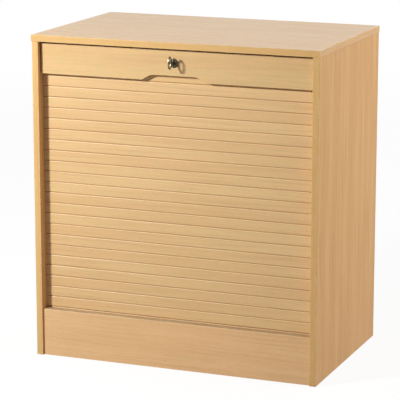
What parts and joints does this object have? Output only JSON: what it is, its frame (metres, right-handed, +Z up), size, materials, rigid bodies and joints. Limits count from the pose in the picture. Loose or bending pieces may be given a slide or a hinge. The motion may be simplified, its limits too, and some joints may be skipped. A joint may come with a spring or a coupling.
{
  "type": "office cabinet",
  "caption": "Beech-finish office cabinet with a roller shutter of linked slats, a locking lead rail with key and finger grip, plinth base and an adjustable inner shelf.",
  "frame": {"origin": "on the floor at the middle of the overall box, key included", "axes": "+Z up, -Y is the front with the shutter, +X to the right seen from the front"},
  "size_m": [0.723, 0.4822, 0.79],
  "materials": {
    "beech_board": "satin beech-grain foil on particle board",
    "beech_edge_band": "satin beech-grain edge band",
    "beech_slat": "satin beech-grain foil on extruded slats",
    "hardboard": "beech-printed hardboard",
    "zinc_steel": "zinc plated",
    "lock_chrome": "polished nickel-chrome",
    "key_nickel": "polished nickel plate",
    "dowel_beech": "raw beech"
  },
  "bodies": {
    "carcass": {"top_panel": "beech_board", "top_edge_bands": "beech_edge_band", "left_side_panel": "beech_board", "right_side_panel": "beech_board", "left_side_edge_band": "beech_edge_band", "right_side_edge_band": "beech_edge_band", "deck_panel": "beech_board", "deck_panel_edge_band": "beech_edge_band", "plinth": "beech_board", "base_stretcher": "beech_board", "back_panel": "hardboard", "inner_back_panel": "hardboard", "shelf": "beech_board", "shelf_edge_band": "beech_edge_band", "shelf_pins": "zinc_steel", "cam_connectors": "zinc_steel", "cam_bolts": "zinc_steel", "dowels": "dowel_beech", "lock_keeper": "zinc_steel", "keeper_screws": "zinc_steel"},
    "shutter_rail": {"lead_rail": "beech_board", "carrier_board": "beech_slat", "rail_screws": "zinc_steel", "lock_housing": "lock_chrome", "lock_nut": "zinc_steel"},
    "lock_core": {"lock_plug": "lock_chrome", "lock_cam": "zinc_steel", "cam_screw": "zinc_steel"},
    "key_body": {"key": "key_nickel"},
    "slat_01": {"slat_01": "beech_slat"},
    "slat_02": {"slat_02": "beech_slat"},
    "slat_03": {"slat_03": "beech_slat"},
    "slat_04": {"slat_04": "beech_slat"},
    "slat_05": {"slat_05": "beech_slat"},
    "slat_06": {"slat_06": "beech_slat"},
    "slat_07": {"slat_07": "beech_slat"},
    "slat_08": {"slat_08": "beech_slat"},
    "slat_09": {"slat_09": "beech_slat"},
    "slat_10": {"slat_10": "beech_slat"},
    "slat_11": {"slat_11": "beech_slat"},
    "slat_12": {"slat_12": "beech_slat"},
    "slat_13": {"slat_13": "beech_slat"},
    "slat_14": {"slat_14": "beech_slat"},
    "slat_15": {"slat_15": "beech_slat"},
    "slat_16": {"slat_16": "beech_slat"},
    "slat_17": {"slat_17": "beech_slat"},
    "slat_18": {"slat_18": "beech_slat"},
    "slat_19": {"slat_19": "beech_slat"},
    "slat_20": {"slat_20": "beech_slat"},
    "slat_21": {"slat_21": "beech_slat"},
    "slat_22": {"slat_22": "beech_slat"},
    "slat_23": {"slat_23": "beech_slat"}
  },
  "joints": [
    {"name": "shutter_slide", "type": "slide", "parent": "carcass", "child": "shutter_rail", "axis": [0, 0, -1], "range_m": [0, 0.58], "deforming": ["slat_01", "slat_02", "slat_03", "slat_04", "slat_05", "slat_06", "slat_07", "slat_08", "slat_09", "slat_10", "slat_11", "slat_12", "slat_13", "slat_14", "slat_15", "slat_16", "slat_17", "slat_18", "slat_19", "slat_20", "slat_21", "slat_22", "slat_23"]},
    {"name": "key_turn", "type": "hinge", "parent": "shutter_rail", "child": "lock_core", "pos_m": [0, -0.2089, 0.74], "axis": [0, 1, 0], "range_deg": [0, 90]},
    {"name": "key_withdraw", "type": "slide", "parent": "lock_core", "child": "key_body", "axis": [0, -1, 0], "range_m": [0, 0.03]},
    {"name": "slat_01_slide", "type": "slide", "parent": "carcass", "child": "slat_01", "axis": [0, 0, -1], "range_m": [0, 0.5805]},
    {"name": "slat_02_slide", "type": "slide", "parent": "carcass", "child": "slat_02", "axis": [0, 0, -1], "range_m": [0, 0.5545]},
    {"name": "slat_03_slide", "type": "slide", "parent": "carcass", "child": "slat_03", "axis": [0, 0, -1], "range_m": [0, 0.5285]},
    {"name": "slat_04_slide", "type": "slide", "parent": "carcass", "child": "slat_04", "axis": [0, 0, -1], "range_m": [0, 0.5025]},
    {"name": "slat_05_slide", "type": "slide", "parent": "carcass", "child": "slat_05", "axis": [0, 0, -1], "range_m": [0, 0.4765]},
    {"name": "slat_06_slide", "type": "slide", "parent": "carcass", "child": "slat_06", "axis": [0, 0, -1], "range_m": [0, 0.4505]},
    {"name": "slat_07_slide", "type": "slide", "parent": "carcass", "child": "slat_07", "axis": [0, 0, -1], "range_m": [0, 0.4245]},
    {"name": "slat_08_slide", "type": "slide", "parent": "carcass", "child": "slat_08", "axis": [0, 0, -1], "range_m": [0, 0.3985]},
    {"name": "slat_09_slide", "type": "slide", "parent": "carcass", "child": "slat_09", "axis": [0, 0, -1], "range_m": [0, 0.3725]},
    {"name": "slat_10_slide", "type": "slide", "parent": "carcass", "child": "slat_10", "axis": [0, 0, -1], "range_m": [0, 0.3465]},
    {"name": "slat_11_slide", "type": "slide", "parent": "carcass", "child": "slat_11", "axis": [0, 0, -1], "range_m": [0, 0.3205]},
    {"name": "slat_12_slide", "type": "slide", "parent": "carcass", "child": "slat_12", "axis": [0, 0, -1], "range_m": [0, 0.2945]},
    {"name": "slat_13_slide", "type": "slide", "parent": "carcass", "child": "slat_13", "axis": [0, 0, -1], "range_m": [0, 0.2685]},
    {"name": "slat_14_slide", "type": "slide", "parent": "carcass", "child": "slat_14", "axis": [0, 0, -1], "range_m": [0, 0.2425]},
    {"name": "slat_15_slide", "type": "slide", "parent": "carcass", "child": "slat_15", "axis": [0, 0, -1], "range_m": [0, 0.2165]},
    {"name": "slat_16_slide", "type": "slide", "parent": "carcass", "child": "slat_16", "axis": [0, 0, -1], "range_m": [0, 0.1905]},
    {"name": "slat_17_slide", "type": "slide", "parent": "carcass", "child": "slat_17", "axis": [0, 0, -1], "range_m": [0, 0.1645]},
    {"name": "slat_18_slide", "type": "slide", "parent": "carcass", "child": "slat_18", "axis": [0, 0, -1], "range_m": [0, 0.1385]},
    {"name": "slat_19_slide", "type": "slide", "parent": "carcass", "child": "slat_19", "axis": [0, 0, -1], "range_m": [0, 0.1125]},
    {"name": "slat_20_slide", "type": "slide", "parent": "carcass", "child": "slat_20", "axis": [0, 0, -1], "range_m": [0, 0.0865]},
    {"name": "slat_21_slide", "type": "slide", "parent": "carcass", "child": "slat_21", "axis": [0, 0, -1], "range_m": [0, 0.0605]},
    {"name": "slat_22_slide", "type": "slide", "parent": "carcass", "child": "slat_22", "axis": [0, 0, -1], "range_m": [0, 0.0345]},
    {"name": "slat_23_slide", "type": "slide", "parent": "carcass", "child": "slat_23", "axis": [0, 0, -1], "range_m": [0, 0.0085]}
  ],
  "couplings": [
    {"joint": "slat_01_slide", "follows": "shutter_slide", "ratio": 1},
    {"joint": "slat_02_slide", "follows": "shutter_slide", "ratio": 0.95517},
    {"joint": "slat_03_slide", "follows": "shutter_slide", "ratio": 0.91034},
    {"joint": "slat_04_slide", "follows": "shutter_slide", "ratio": 0.86552},
    {"joint": "slat_05_slide", "follows": "shutter_slide", "ratio": 0.82069},
    {"joint": "slat_06_slide", "follows": "shutter_slide", "ratio": 0.77586},
    {"joint": "slat_07_slide", "follows": "shutter_slide", "ratio": 0.73103},
    {"joint": "slat_08_slide", "follows": "shutter_slide", "ratio": 0.68621},
    {"joint": "slat_09_slide", "follows": "shutter_slide", "ratio": 0.64138},
    {"joint": "slat_10_slide", "follows": "shutter_slide", "ratio": 0.59655},
    {"joint": "slat_11_slide", "follows": "shutter_slide", "ratio": 0.55172},
    {"joint": "slat_12_slide", "follows": "shutter_slide", "ratio": 0.5069},
    {"joint": "slat_13_slide", "follows": "shutter_slide", "ratio": 0.46207},
    {"joint": "slat_14_slide", "follows": "shutter_slide", "ratio": 0.41724},
    {"joint": "slat_15_slide", "follows": "shutter_slide", "ratio": 0.37241},
    {"joint": "slat_16_slide", "follows": "shutter_slide", "ratio": 0.32759},
    {"joint": "slat_17_slide", "follows": "shutter_slide", "ratio": 0.28276},
    {"joint": "slat_18_slide", "follows": "shutter_slide", "ratio": 0.23793},
    {"joint": "slat_19_slide", "follows": "shutter_slide", "ratio": 0.1931},
    {"joint": "slat_20_slide", "follows": "shutter_slide", "ratio": 0.14828},
    {"joint": "slat_21_slide", "follows": "shutter_slide", "ratio": 0.10345},
    {"joint": "slat_22_slide", "follows": "shutter_slide", "ratio": 0.058621},
    {"joint": "slat_23_slide", "follows": "shutter_slide", "ratio": 0.013793}
  ]
}
